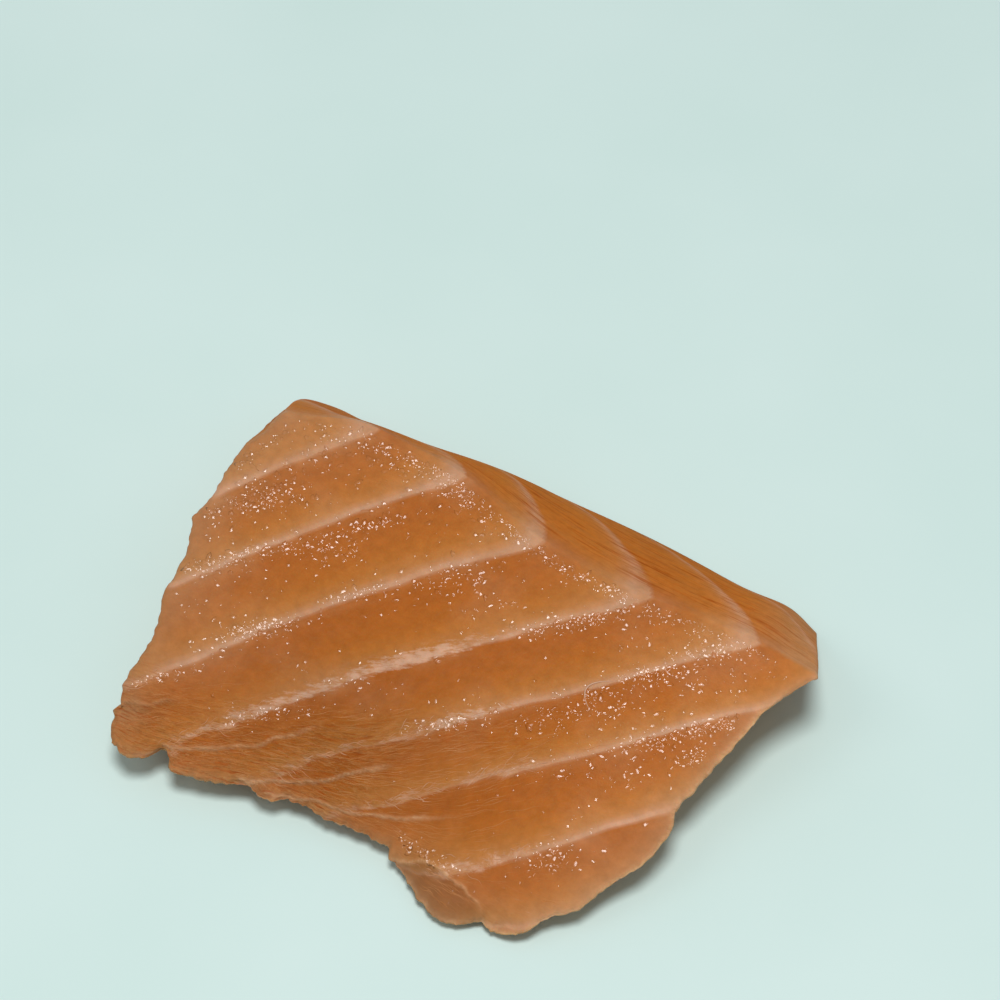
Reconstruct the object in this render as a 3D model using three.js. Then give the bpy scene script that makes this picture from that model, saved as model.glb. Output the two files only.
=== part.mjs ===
// One slice of raw salmon, cut on a slant and laid flat.
// Millimetres. x runs along the ridge, y to the back, z up; the foot rests on z = 0.
// The big cut face is on top and falls to thin lips at the front and the right;
// the back face rounds down from the ridge; the left end is nearly upright.

import * as THREE from "three";

// corners of the cut face: x, y and height
const ridgeLeft = [-27.6, 13.0, 9.9];
const ridgeRight = [29.0, 13.3, 8.6];
const frontRight = [18.3, -20.1, 1.5];
const frontLeft = [-22.4, -24.3, 4.1];

// corners of the flat foot
const footBackLeft = [-26.2, 19.6];
const footBackRight = [24.3, 23.2];
const footFrontRight = [16.4, -17.6];
const footFrontLeft = [-21.0, -18.6];

// how far each side of the foot bows out
const footBowBack = 2.9;
const footBowFront = 0.9;
const footBowLeft = -2.6;
const footBowRight = -1.8;
const footBowPower = 0.9;

// swells along the back of the foot, the spread of its left corner and the round of its right
const footSwells = [
  [0.03, 0.06, 1.4],
  [0.17, 0.09, -0.5],
  [0.34, 0.1, 0.4],
  [0.93, 0.07, 0.9],
];
const swellFade = 6;
const spreadLeft = [0.07, 0.14, 4.9];
const roundRight = [0.06, 0.08, 0.25, 0.15];

// swells along each edge: place along the edge, width there, height in mm
const leftSwells = [
  [0.09, 0.06, 0.4],
  [0.195, 0.196, -1.9],
  [0.41, 0.095, -1.7],
  [0.6, 0.098, -1.2],
  [0.845, 0.077, -0.7],
];
const rightSwells = [
  [0.14, 0.097, -0.8],
  [0.5, 0.039, -0.55],
  [0.666, 0.196, 2.8],
  [0.854, 0.051, 0.9],
];
const ridgeSwells = [
  [0.02, 0.07, -0.8],
  [0.12, 0.07, 1.0],
  [0.2, 0.09, 1.2],
  [0.32, 0.1, 1.4],
  [0.61, 0.17, -1.4],
  [0.88, 0.1, 0.4],
];

// the crest of the ridge, which rounds over to the back, and the sag of the front edge
const ridgeCrest = 0.9;
const crestEnd = 0.94;
const crestPower = 0.8;
const ridgeRound = 0.2;
const ridgeWide = 1.4;
const frontSag = 0.6;
const leftFallPower = 2.4;
const rightFallPower = 1.15;

// the long scoop torn out of the front edge, which stops at a step
const scoopDepth = 3.0;
const scoopFrom = -19;
const scoopTo = -5;
const stepAt = 3.9;
const stepWidth = 0.8;
const stepShare = 0.35;
const stepReach = 10;
const flapFrom = 4.5;
const flapTo = 9.2;

// nicks and rags of the front edge: x, width, depth inwards
const flapSwell = [11.5, 2.2, -1.2];
const frontNicks = [
  [-17.5, 0.85, 2.1],
  [-7.6, 1.2, -0.8],
  [-9.6, 0.5, 0.45],
  [14.4, 0.8, 0.6],
  [-20.6, 0.9, -0.3],
  [12.9, 0.5, -0.3],
];
const nickReach = 16;

// the front flap right of the step folds down at its edge
const foldDrop = 0.6;
const foldFrom = 0.94;
const foldLeft = [0.655, 0.69];
const foldRight = [0.95, 1];

// corners are rounded: share of the length, width and pull
const roundLeft = [0.055, 0.075, 0.4, 0.1];
const roundFront = [0.03, 0.03, 0.5, 0.35];
const roundTip = [0.02, 0.02, 0.25, 0.2];

// rim: the cut face rises from its thin edges over these widths
const rimLift = 0.3;
const rimFront = 0.7;
const rimLeft = 0.8;
const rimRight = 0.5;
const faceDepth = 36;
const faceLength = 52;

// sides: how the wall leaves the rim and comes in to the foot
const lipIn = 0.75;
const lipDown = 1.3;
const backStraight = 0.7;
const endBlend = 0.14;
const leftBulge = 0.5;
const bulgeWide = 0.05;
const bulgeFade = 0.86;

// sheets of fat between the flakes: level rises by one from sheet to sheet
const sheetStart = 6.083;
const sheetAlong = 0.0916;
const sheetBack = -0.045;
const sheetUp = -0.2487;
const sheetTwist = -0.000091;
const sheetBowLong = -0.000144;
const sheetBowWide = -0.000438;
const sheetLevels = [1, 1.94, 3.03, 4.14, 5.12, 5.98, 7];

// flakes: each rises towards the sheet below it and steps down at the sheet
const flakeStep = 0.14;
const flakeRise = 0.35;
const flakeCrest = 0.93;

// long soft folds along the fibres in the torn front part
const fibreFold = 0.16;
const fibreLength = 5.2;
const fibreStart = 0.62;
const fibreLean = 0.12;
const fibreBend = 0.35;
const fibreBendEvery = 4;

// cells along and across the cut face, rows down the sides
const cellsLong = 72;
const cellsWide = 52;
const sideRows = 7;
const edgeCrowding = 0.5;

function bump(s, at, wide) {
  const q = (s - at) / wide;
  return Math.exp(-q * q);
}

function smooth(s, from, to) {
  const q = Math.min(Math.max((s - from) / (to - from), 0), 1);
  return q * q * (3 - 2 * q);
}

function swell(s, rows) {
  let sum = 0;
  for (const [at, wide, high] of rows) {
    sum += high * bump(s, at, wide);
  }
  return sum;
}

function between(u, v, axis) {
  const back = (1 - u) * ridgeLeft[axis] + u * ridgeRight[axis];
  const front = (1 - u) * frontLeft[axis] + u * frontRight[axis];
  return (1 - v) * back + v * front;
}

// run of the front edge: the scoop, its step, which fades inwards, and the flap
function frontRun(x, v) {
  const scoop = scoopDepth * smooth(x, scoopFrom, scoopTo);
  const step = 1 - stepShare * smooth(x, stepAt, stepAt + stepWidth) * v ** stepReach;
  const flap = 1 - smooth(x, flapFrom, flapTo);
  return scoop * step * flap + flapSwell[2] * bump(x, flapSwell[0], flapSwell[1]);
}

// height lost from the ridge down to the front, steeper at the left end
function faceHeight(u, v) {
  const back = (1 - u) * ridgeLeft[2] + u * ridgeRight[2];
  const leftFall = (1 - u) * v ** leftFallPower * (frontLeft[2] - ridgeLeft[2]);
  const rightFall = u * v ** rightFallPower * (frontRight[2] - ridgeRight[2]);
  const crest = ridgeCrest * Math.sin(Math.PI * Math.min(u / crestEnd, 1)) ** crestPower;
  const sag = frontSag * Math.sin(Math.PI * u);
  const near = 1 - Math.min((v * faceDepth) / ridgeWide, 1);
  return back + leftFall + rightFall + (1 - v) * crest - v * sag - ridgeRound * near ** 2;
}

function rimCover(u, v) {
  const reach = [
    [(1 - v) * faceDepth, rimFront],
    [u * faceLength, rimLeft],
    [(1 - u) * faceLength, rimRight],
  ];
  let cover = 1;
  for (const [distance, wide] of reach) {
    const q = Math.min(distance / wide, 1);
    cover *= 1 - (1 - q) ** 2;
  }
  return cover;
}

// which sheet of fat a point lies at, as a running number
function sheetLevel(x, y, z) {
  const flat = sheetStart + sheetAlong * x + sheetBack * y + sheetUp * z;
  return flat + sheetTwist * x * y + sheetBowLong * x * x + sheetBowWide * y * y;
}

function sheetNumber(level) {
  const last = sheetLevels.length - 1;
  if (level <= sheetLevels[0]) {
    return level;
  }
  for (let k = 0; k < last; k += 1) {
    if (level <= sheetLevels[k + 1]) {
      return k + 1 + (level - sheetLevels[k]) / (sheetLevels[k + 1] - sheetLevels[k]);
    }
  }
  return last + 1 + level - sheetLevels[last];
}

function flakeHeight(x, y, z) {
  const number = sheetNumber(sheetLevel(x, y, z));
  const part = number - Math.floor(number);
  const rise = smooth(part, flakeRise, flakeCrest);
  const fall = 1 - smooth(part, flakeCrest, 1);
  return flakeStep * rise * fall;
}

function fibreHeight(x, y, v) {
  const bend = fibreBend * Math.sin(x / fibreBendEvery);
  const wave = Math.sin((2 * Math.PI * (y + fibreLean * x)) / fibreLength + bend);
  return fibreFold * wave * smooth(v, fibreStart, 1);
}

// a point of the cut face; u runs along the ridge, v from the ridge to the front
function facePoint(u, v) {
  const edgeX = frontLeft[0] + (frontRight[0] - frontLeft[0]) * u;
  let x = between(u, v, 0) + (1 - u) * swell(v, leftSwells) + u * swell(v, rightSwells);
  let y = between(u, v, 1) + (1 - v) * swell(u, ridgeSwells) + v * frontRun(edgeX, v);
  y += v ** nickReach * swell(edgeX, frontNicks);
  let z = faceHeight(u, v);

  const nearLeft = bump(u, 0, roundLeft[0]) * bump(v, 0, roundLeft[1]);
  const nearFront = bump(u, 0, roundFront[0]) * bump(v, 1, roundFront[1]);
  const nearTip = bump(u, 1, roundTip[0]) * bump(v, 1, roundTip[1]);
  x += roundLeft[2] * nearLeft + roundFront[2] * nearFront - roundTip[2] * nearTip;
  y += -roundLeft[3] * nearLeft + roundFront[3] * nearFront + roundTip[3] * nearTip;

  const cover = rimCover(u, v);
  z += rimLift * cover;
  z += cover * (flakeHeight(x, y, z) + fibreHeight(x, y, v));
  const fold = smooth(u, ...foldLeft) * (1 - smooth(u, ...foldRight));
  z -= foldDrop * fold * smooth(v, foldFrom, 1);
  return [x, y, z];
}

// a point of the foot under the edge point u, v
function footPoint(u, v) {
  const alongLong = Math.sin(Math.PI * u) ** footBowPower;
  const alongWide = Math.sin(Math.PI * v) ** footBowPower;
  const point = [];
  for (const axis of [0, 1]) {
    const near = (1 - u) * footBackLeft[axis] + u * footBackRight[axis];
    const far = (1 - u) * footFrontLeft[axis] + u * footFrontRight[axis];
    point.push((1 - v) * near + v * far);
  }
  point[0] += ((1 - u) * footBowLeft + u * footBowRight) * alongWide;
  point[1] += ((1 - v) * footBowBack + v * footBowFront) * alongLong;
  point[1] += (1 - v) ** swellFade * swell(u, footSwells);

  const nearLeft = bump(u, 0, spreadLeft[0]) * bump(v, 0, spreadLeft[1]);
  const nearRight = bump(u, 1, roundRight[0]) * bump(v, 0, roundRight[1]);
  point[0] -= spreadLeft[2] * nearLeft + roundRight[2] * nearRight;
  point[1] -= roundRight[3] * nearRight;
  return point;
}

// a point of the side, w from the rim down to the foot
function sidePoint(u, v, w) {
  const rim = facePoint(u, v);
  const foot = footPoint(u, v);
  const backShare = 1 - smooth(v, 0, endBlend);
  const turn = (Math.PI / 2) * w;
  const backOut = backStraight * w + (1 - backStraight) * Math.sin(turn);
  const backDown = backStraight * w + (1 - backStraight) * (1 - Math.cos(turn));
  const out = backShare * backOut + (1 - backShare) * w ** lipIn;
  const down = backShare * backDown + (1 - backShare) * w ** lipDown;
  const atLeft = bump(u, 0, bulgeWide) * (1 - backShare) * (1 - smooth(v, bulgeFade, 1));
  const bulge = leftBulge * Math.sin(Math.PI * w) * atLeft;
  return [
    rim[0] + (foot[0] - rim[0]) * out - bulge,
    rim[1] + (foot[1] - rim[1]) * out,
    rim[2] * (1 - down),
  ];
}

function crowd(s) {
  return s - (edgeCrowding * Math.sin(2 * Math.PI * s)) / (2 * Math.PI);
}

function sliceGeometry() {
  const points = [];
  const faces = [];
  const onFace = (i, j) => i * (cellsWide + 1) + j;

  for (let i = 0; i <= cellsLong; i += 1) {
    for (let j = 0; j <= cellsWide; j += 1) {
      points.push(facePoint(crowd(i / cellsLong), crowd(j / cellsWide)));
    }
  }
  for (let i = 0; i < cellsLong; i += 1) {
    for (let j = 0; j < cellsWide; j += 1) {
      faces.push([onFace(i, j), onFace(i, j + 1), onFace(i + 1, j)]);
      faces.push([onFace(i, j + 1), onFace(i + 1, j + 1), onFace(i + 1, j)]);
    }
  }

  // once round the rim: back, right, front, left
  const rim = [];
  for (let i = 0; i < cellsLong; i += 1) rim.push([i, 0]);
  for (let j = 0; j < cellsWide; j += 1) rim.push([cellsLong, j]);
  for (let i = cellsLong; i > 0; i -= 1) rim.push([i, cellsWide]);
  for (let j = cellsWide; j > 0; j -= 1) rim.push([0, j]);

  const firstSide = points.length;
  for (const [i, j] of rim) {
    for (let row = 1; row <= sideRows; row += 1) {
      points.push(sidePoint(crowd(i / cellsLong), crowd(j / cellsWide), row / sideRows));
    }
  }
  const onSide = (k, row) => {
    const place = k % rim.length;
    return row === 0 ? onFace(...rim[place]) : firstSide + place * sideRows + row - 1;
  };
  for (let k = 0; k < rim.length; k += 1) {
    for (let row = 0; row < sideRows; row += 1) {
      faces.push([onSide(k, row), onSide(k + 1, row), onSide(k, row + 1)]);
      faces.push([onSide(k + 1, row), onSide(k + 1, row + 1), onSide(k, row + 1)]);
    }
  }

  // the flat foot
  const outline = rim.map((place, k) => {
    const [x, y] = points[onSide(k, sideRows)];
    return new THREE.Vector2(x, y);
  });
  for (const [a, b, c] of THREE.ShapeUtils.triangulateShape(outline, [])) {
    const turn = outline[b].clone().sub(outline[a]).cross(outline[c].clone().sub(outline[a]));
    const order = turn > 0 ? [a, c, b] : [a, b, c];
    faces.push(order.map((k) => onSide(k, sideRows)));
  }

  const geometry = new THREE.BufferGeometry();
  geometry.setAttribute("position", new THREE.Float32BufferAttribute(points.flat(), 3));
  geometry.setIndex(faces.flat());
  return geometry;
}

// the frame's origin is the middle of the slice's own length and width, at the foot
const geometry = sliceGeometry();
geometry.computeBoundingBox();
const middle = geometry.boundingBox.getCenter(new THREE.Vector3());
geometry.translate(-middle.x, -middle.y, -geometry.boundingBox.min.z);
geometry.computeVertexNormals();

const flesh = new THREE.MeshStandardMaterial({
  name: "salmon flesh",
  color: 0xb5662f,
  roughness: 0.35,
  metalness: 0,
});

const salmonSlice = new THREE.Mesh(geometry, flesh);
salmonSlice.name = "salmon_slice";

const group = new THREE.Group();
group.name = "salmon_sashimi_slice";
group.add(salmonSlice);

export default group;
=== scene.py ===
import math

import bpy
import numpy as np
from mathutils import Matrix, Vector


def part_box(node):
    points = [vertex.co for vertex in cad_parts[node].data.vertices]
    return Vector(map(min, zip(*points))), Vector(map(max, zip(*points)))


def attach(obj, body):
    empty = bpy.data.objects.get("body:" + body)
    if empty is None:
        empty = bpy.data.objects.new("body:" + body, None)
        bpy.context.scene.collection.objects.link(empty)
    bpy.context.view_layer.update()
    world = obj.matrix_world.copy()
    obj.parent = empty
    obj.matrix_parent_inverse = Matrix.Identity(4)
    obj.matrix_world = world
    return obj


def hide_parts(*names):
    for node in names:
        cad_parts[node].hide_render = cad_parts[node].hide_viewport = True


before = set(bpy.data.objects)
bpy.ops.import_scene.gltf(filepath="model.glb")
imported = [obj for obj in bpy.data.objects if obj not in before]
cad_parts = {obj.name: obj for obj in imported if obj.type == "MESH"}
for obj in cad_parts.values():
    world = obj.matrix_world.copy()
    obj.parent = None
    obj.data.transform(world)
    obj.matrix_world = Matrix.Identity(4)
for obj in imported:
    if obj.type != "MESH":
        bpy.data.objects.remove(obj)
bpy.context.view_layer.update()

cadLow, cadHigh = (np.array(corner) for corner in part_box("salmon_slice"))
mm = 0.001
print("frame loaded, the solid measures", np.round((cadHigh - cadLow) / mm, 1), "mm")


# small shapes that the others are made of

def bump(s, at, wide):
    # a round hill: e to the minus square of the distance over the width
    return np.exp(-((s - at) / wide) ** 2)


def smooth(s, start, end):
    # 0 before start, 1 after end, an S between them: 3q^2 - 2q^3
    q = np.clip((s - start) / (end - start), 0, 1)
    return q * q * (3 - 2 * q)


def mixed(share, start, end):
    # start where the share is 0, end where it is 1, straight between them
    return start + (end - start) * share


def swells(s, rows):
    # a sum of round hills, each with its place, width and height
    return sum(high * bump(s, at, wide) for at, wide, high in rows)


def patch(x, y, at, wide):
    # an oval hill: the product of a round hill along x and one along y
    return bump(x, at[0], wide[0]) * bump(y, at[1], wide[1])


def cloud(x, y, seed):
    # a random number at every whole point of a grid, joined by S curves: -0.5 to 0.5
    xi, yi = np.floor(x).astype(np.int64), np.floor(y).astype(np.int64)
    fx, fy = x - xi, y - yi
    fx, fy = fx * fx * (3 - 2 * fx), fy * fy * (3 - 2 * fy)

    def corner(i, j):
        n = (i * 374761393 + j * 668265263 + seed * 974634777) & 0xFFFFFFFF
        n = ((n ^ (n >> 13)) * 1274126177) & 0xFFFFFFFF
        return ((n ^ (n >> 16)) & 0xFFFF) / 65535 - 0.5

    near = corner(xi, yi) * (1 - fx) + corner(xi + 1, yi) * fx
    far = corner(xi, yi + 1) * (1 - fx) + corner(xi + 1, yi + 1) * fx
    return near * (1 - fy) + far * fy


def clouds(x, y, rows):
    # a sum of clouds, each row with its height, its cell's length and width, and its seed
    return sum(high * cloud(x / long, y / wide, seed) for high, long, wide, seed in rows)


# the slice, in millimetres: x along the ridge, y to the back, z up
flesh = dict(
    ridgeLeft=(-27.6, 13.0, 9.9), ridgeRight=(29.0, 13.3, 8.6),
    frontRight=(18.3, -20.1, 1.5), frontLeft=(-22.4, -24.3, 4.1),
    footBackLeft=(-26.2, 19.6), footBackRight=(24.3, 23.2),
    footFrontRight=(16.4, -17.6), footFrontLeft=(-21.0, -18.6),
    footBow=dict(back=2.9, front=0.9, left=-2.6, right=-1.8, full=0.9),
    footSwells=[(0.03, 0.06, 1.4), (0.17, 0.09, -0.5), (0.34, 0.1, 0.4), (0.93, 0.07, 0.9)],
    footSwellFade=6, footSpread=4.9, spreadWide=(0.07, 0.14),
    footRound=0.25, footRoundWide=(0.06, 0.08), footRoundBack=0.6,
    leftSwells=[(0.09, 0.06, 0.4), (0.195, 0.196, -1.9), (0.41, 0.095, -1.7),
                (0.6, 0.098, -1.2), (0.845, 0.077, -0.7)],
    rightSwells=[(0.14, 0.097, -0.8), (0.5, 0.039, -0.55), (0.666, 0.196, 2.8),
                 (0.854, 0.051, 0.9)],
    ridgeSwells=[(0.02, 0.07, -0.8), (0.12, 0.07, 1.0), (0.2, 0.09, 1.2), (0.32, 0.1, 1.4),
                 (0.61, 0.17, -1.4), (0.88, 0.1, 0.4)],
    ridgeCrest=0.9, crestEnd=0.94, crestFull=0.8,
    frontSag=0.6, ridgeRound=0.2, ridgeWide=1.4,
    leftFall=2.4, rightFall=1.15,
    scoop=dict(deep=3.0, start=-19, end=-5, stepAt=3.9, stepWide=0.8, stepShare=0.35,
               stepReach=10, flapStart=4.5, flapEnd=9.2),
    flapSwell=(11.5, 2.2, -1.2),
    frontNicks=[(-17.5, 0.85, 2.1), (-7.6, 1.2, -0.8), (-9.6, 0.5, 0.45), (14.4, 0.8, 0.6),
                (-20.6, 0.9, -0.3), (12.9, 0.5, -0.3)],
    nickReach=40,
    # rounded corners: the corner's u and v, how wide, and its move in x and y
    rounded=[((0, 0), (0.055, 0.075), (0.4, -0.1)), ((0, 1), (0.03, 0.03), (0.5, 0.35)),
             ((1, 1), (0.02, 0.02), (-0.25, 0.2))],
    foldDrop=0.6, foldStart=0.94, foldLeft=(0.655, 0.69), foldRight=(0.95, 1),
    rimLift=0.3, rimWide=dict(front=0.7, left=0.8, right=0.5),
    faceDeep=36, faceLong=52,
    lipIn=0.75, lipDown=1.3, backStraight=0.7, endBlend=0.14,
    leftBulge=0.5, bulgeWide=0.05, bulgeEnd=0.86,
)

# sheets of fat between the flakes, and the relief that they and the fibres leave
sheets = dict(
    start=6.083, along=0.0916, back=-0.045, up=-0.2487,
    twist=-0.000091, bowLong=-0.000144, bowWide=-0.000438,
    levels=(1, 1.94, 3.03, 4.14, 5.12, 5.98, 7),
    stepHigh=0.06, rise=0.3, crest=0.85, groove=0.02, grooveAt=0.02, grooveWide=0.03,
    fibreTurn=30.0,
)


def edgeCrowd(count):
    # even steps drawn towards both ends: s - sin(2 pi s) / 4 pi
    s = np.arange(count + 1) / count
    return s - 0.5 * np.sin(2 * np.pi * s) / (2 * np.pi)


def facePoints(u, v):
    # four corners blended straight, plus each edge's swells fading across the face
    ridgeLeft, ridgeRight = flesh["ridgeLeft"], flesh["ridgeRight"]
    frontLeft, frontRight = flesh["frontLeft"], flesh["frontRight"]
    x, y = (
        (1 - v) * ((1 - u) * ridgeLeft[k] + u * ridgeRight[k])
        + v * ((1 - u) * frontLeft[k] + u * frontRight[k])
        for k in (0, 1)
    )
    edge = frontLeft[0] + (frontRight[0] - frontLeft[0]) * u
    scoop, flap = flesh["scoop"], flesh["flapSwell"]
    run = scoop["deep"] * smooth(edge, scoop["start"], scoop["end"])
    step = smooth(edge, scoop["stepAt"], scoop["stepAt"] + scoop["stepWide"])
    run = run * (1 - scoop["stepShare"] * step * v ** scoop["stepReach"])
    run = run * (1 - smooth(edge, scoop["flapStart"], scoop["flapEnd"]))
    run = run + flap[2] * bump(edge, flap[0], flap[1])
    x = x + (1 - u) * swells(v, flesh["leftSwells"]) + u * swells(v, flesh["rightSwells"])
    y = y + (1 - v) * swells(u, flesh["ridgeSwells"]) + v * run
    y = y + v ** flesh["nickReach"] * swells(edge, flesh["frontNicks"])

    back = (1 - u) * ridgeLeft[2] + u * ridgeRight[2]
    leftFall = (1 - u) * v ** flesh["leftFall"] * (frontLeft[2] - ridgeLeft[2])
    rightFall = u * v ** flesh["rightFall"] * (frontRight[2] - ridgeRight[2])
    crest = np.sin(np.pi * np.minimum(u / flesh["crestEnd"], 1)) ** flesh["crestFull"]
    z = back + leftFall + rightFall + (1 - v) * flesh["ridgeCrest"] * crest
    z = z - flesh["frontSag"] * v * np.sin(np.pi * u)
    ridgeNear = 1 - np.minimum(v * flesh["faceDeep"] / flesh["ridgeWide"], 1)
    z = z - flesh["ridgeRound"] * ridgeNear ** 2

    for corner, wide, move in flesh["rounded"]:
        near = patch(u, v, corner, wide)
        x, y = x + move[0] * near, y + move[1] * near
    z = z + flesh["rimLift"] * rimCover(u, v)
    fold = smooth(u, *flesh["foldLeft"]) * (1 - smooth(u, *flesh["foldRight"]))
    z = z - flesh["foldDrop"] * fold * smooth(v, flesh["foldStart"], 1)
    return np.stack([x, y, z], -1)


def rimCover(u, v):
    # 0 on the three thin edges and 1 inside: the product of 1 - (1 - distance / width)^2
    wide = flesh["rimWide"]
    cover = 1
    for distance, width in (
        ((1 - v) * flesh["faceDeep"], wide["front"]), (u * flesh["faceLong"], wide["left"]),
        ((1 - u) * flesh["faceLong"], wide["right"]),
    ):
        cover = cover * (1 - (1 - np.clip(distance / width, 0, 1)) ** 2)
    return cover


def footPoints(u, v):
    # four foot corners blended straight, each side bowed out by a half sine, the back one
    # swelling in and out, its left corner spread and its right one rounded
    bow = flesh["footBow"]
    x, y = (
        (1 - v) * ((1 - u) * flesh["footBackLeft"][k] + u * flesh["footBackRight"][k])
        + v * ((1 - u) * flesh["footFrontLeft"][k] + u * flesh["footFrontRight"][k])
        for k in (0, 1)
    )
    longBow, wideBow = (np.sin(np.pi * np.clip(s, 0, 1)) ** bow["full"] for s in (u, v))
    x = x + ((1 - u) * bow["left"] + u * bow["right"]) * wideBow
    y = y + ((1 - v) * bow["back"] + v * bow["front"]) * longBow
    y = y + (1 - v) ** flesh["footSwellFade"] * swells(u, flesh["footSwells"])
    spread = flesh["footSpread"] * patch(u, v, (0, 0), flesh["spreadWide"])
    rightCorner = flesh["footRound"] * patch(u, v, (1, 0), flesh["footRoundWide"])
    return np.stack([x - spread - rightCorner, y - flesh["footRoundBack"] * rightCorner], -1)


def sidePoints(u, v, w):
    # from the rim to the foot: a quarter turn at the back, tucked under elsewhere
    rim, foot = facePoints(u, v), footPoints(u, v)
    backShare = 1 - smooth(v, 0, flesh["endBlend"])
    straight = flesh["backStraight"]
    backOut = straight * w + (1 - straight) * np.sin(np.pi / 2 * w)
    backDown = straight * w + (1 - straight) * (1 - np.cos(np.pi / 2 * w))
    out = backShare * backOut + (1 - backShare) * w ** flesh["lipIn"]
    down = backShare * backDown + (1 - backShare) * w ** flesh["lipDown"]
    atLeft = bump(u, 0, flesh["bulgeWide"]) * (1 - backShare)
    atLeft = atLeft * (1 - smooth(v, flesh["bulgeEnd"], 1))
    bulge = flesh["leftBulge"] * np.sin(np.pi * w) * atLeft
    x = rim[..., 0] + (foot[..., 0] - rim[..., 0]) * out - bulge
    y = rim[..., 1] + (foot[..., 1] - rim[..., 1]) * out
    return np.stack([x, y, rim[..., 2] * (1 - down)], -1)


def sheetNumber(p):
    # a tilted, slightly twisted plane through the flesh, counted in sheets
    x, y, z = p[..., 0], p[..., 1], p[..., 2]
    level = sheets["start"] + sheets["along"] * x + sheets["back"] * y + sheets["up"] * z
    level = level + sheets["twist"] * x * y
    level = level + sheets["bowLong"] * x * x + sheets["bowWide"] * y * y
    marks = np.array(sheets["levels"])
    count = np.arange(1, len(marks) + 1)
    number = np.interp(level, marks, count)
    number = np.where(level < marks[0], level, number)
    return np.where(level > marks[-1], len(marks) + level - marks[-1], number)


def vertexNormals(points, quads):
    # the sum of the crossed diagonals of the faces round each point
    cross = np.cross(
        points[quads[:, 2]] - points[quads[:, 0]], points[quads[:, 3]] - points[quads[:, 1]]
    )
    total = np.zeros_like(points)
    for k in range(4):
        for axis in range(3):
            total[:, axis] += np.bincount(quads[:, k], cross[:, axis], len(points))
    return total / np.maximum(np.linalg.norm(total, axis=1, keepdims=True), 1e-12)


def buildMesh(name, points, faces, values=None, flat=0):
    # the last faces, as many as flat says, are hidden undersides and stay flat
    mesh = bpy.data.meshes.new(name)
    mesh.from_pydata(points.tolist(), [], faces)
    mesh.polygons.foreach_set("use_smooth", np.arange(len(faces)) < len(faces) - flat)
    for key, value in (values or {}).items():
        if value.ndim == 2:
            layer = mesh.attributes.new(key, "FLOAT_VECTOR", "POINT")
            layer.data.foreach_set("vector", value.astype(np.float32).ravel())
        else:
            layer = mesh.attributes.new(key, "FLOAT", "POINT")
            layer.data.foreach_set("value", value.astype(np.float32))
    mesh.update()
    piece = bpy.data.objects.new(name, mesh)
    bpy.context.scene.collection.objects.link(piece)
    return piece


# where the slice stands: its own middle goes to the middle of the CAD node. foot gives the
# rings under the slice, as shares of the way from its outline to its middle
cells = dict(long=300, wide=220, side=22, foot=(0.3, 0.6, 0.85))
gridU, gridV = np.meshgrid(edgeCrowd(cells["long"]), edgeCrowd(cells["wide"]), indexing="ij")
face = facePoints(gridU, gridV)
index = np.arange(face[..., 0].size).reshape(face.shape[:2])
rimIndex = np.concatenate(
    [index[:-1, 0], index[-1, :-1], index[:0:-1, -1], index[0, :0:-1]]
)
rimU, rimV = gridU.ravel()[rimIndex], gridV.ravel()[rimIndex]
drop = np.arange(1, cells["side"] + 1) / cells["side"]
side = sidePoints(rimU[:, None], rimV[:, None], drop[None])
footRing = side[:, -1]
footMiddle = footRing.mean(0)
inward = np.array(cells["foot"])[None, :, None]
foot = footRing[:, None] * (1 - inward) + footMiddle * inward
points = np.concatenate(
    [face.reshape(-1, 3), np.concatenate([side, foot], 1).reshape(-1, 3), footMiddle[None]]
)
low, high = points.min(0), points.max(0)
middle = np.array([(low[0] + high[0]) / 2, (low[1] + high[1]) / 2, 0])
middle = middle - np.array([*(cadLow + cadHigh)[:2] / 2, 0]) / mm

# corner numbers of every face, going round it with the outside in front
a, b = index[:-1, :-1].ravel(), index[:-1, 1:].ravel()
c, d = index[1:, 1:].ravel(), index[1:, :-1].ravel()
quads = [np.stack([a, b, c, d], 1)]
rows = cells["side"] + len(cells["foot"])
columns = len(rimIndex)
walls = face[..., 0].size + np.arange(columns * rows).reshape(columns, rows)
walls = np.concatenate([rimIndex[:, None], walls], 1)
after = np.roll(walls, -1, 0)
quads.append(np.stack(
    [walls[:, :-1].ravel(), after[:, :-1].ravel(), after[:, 1:].ravel(), walls[:, 1:].ravel()], 1
))
quads = np.concatenate(quads)
fan = np.stack([walls[:, -1], after[:, -1], np.full(columns, len(points) - 1)], 1)

# what each point is: share down the side, and its u and v
faceCount = index.size
pointU = np.concatenate([gridU.ravel(), np.repeat(rimU, rows), [0.5]])
pointV = np.concatenate([gridV.ravel(), np.repeat(rimV, rows), [0.5]])
down = np.concatenate([drop, np.ones(len(cells["foot"]))])
pointDown = np.concatenate([np.zeros(faceCount), np.tile(down, columns), [1.0]])
onFace = np.arange(len(points)) < faceCount
x, y, z = points.T
number = sheetNumber(points)

# the grain: mm along and across the fibres, which turn to follow the front edge; on the sides
# it goes on from the rim
grainLay = dict(start=14.5, edgeDeep=14, sideDeep=13)
turn = math.radians(sheets["fibreTurn"])
edgeGap = (1 - pointV) * flesh["faceDeep"]
inside = smooth(edgeGap, 0, grainLay["edgeDeep"])
across = y * math.cos(turn) - x * math.sin(turn) + grainLay["start"]
across = mixed(inside, edgeGap, across)
along = x * np.cos(turn * inside) + y * np.sin(turn * inside)
along, across = (
    np.concatenate([s[:faceCount], np.repeat(s[rimIndex], rows), [0.0]]) for s in (along, across)
)
across = across + grainLay["sideDeep"] * pointDown

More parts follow.
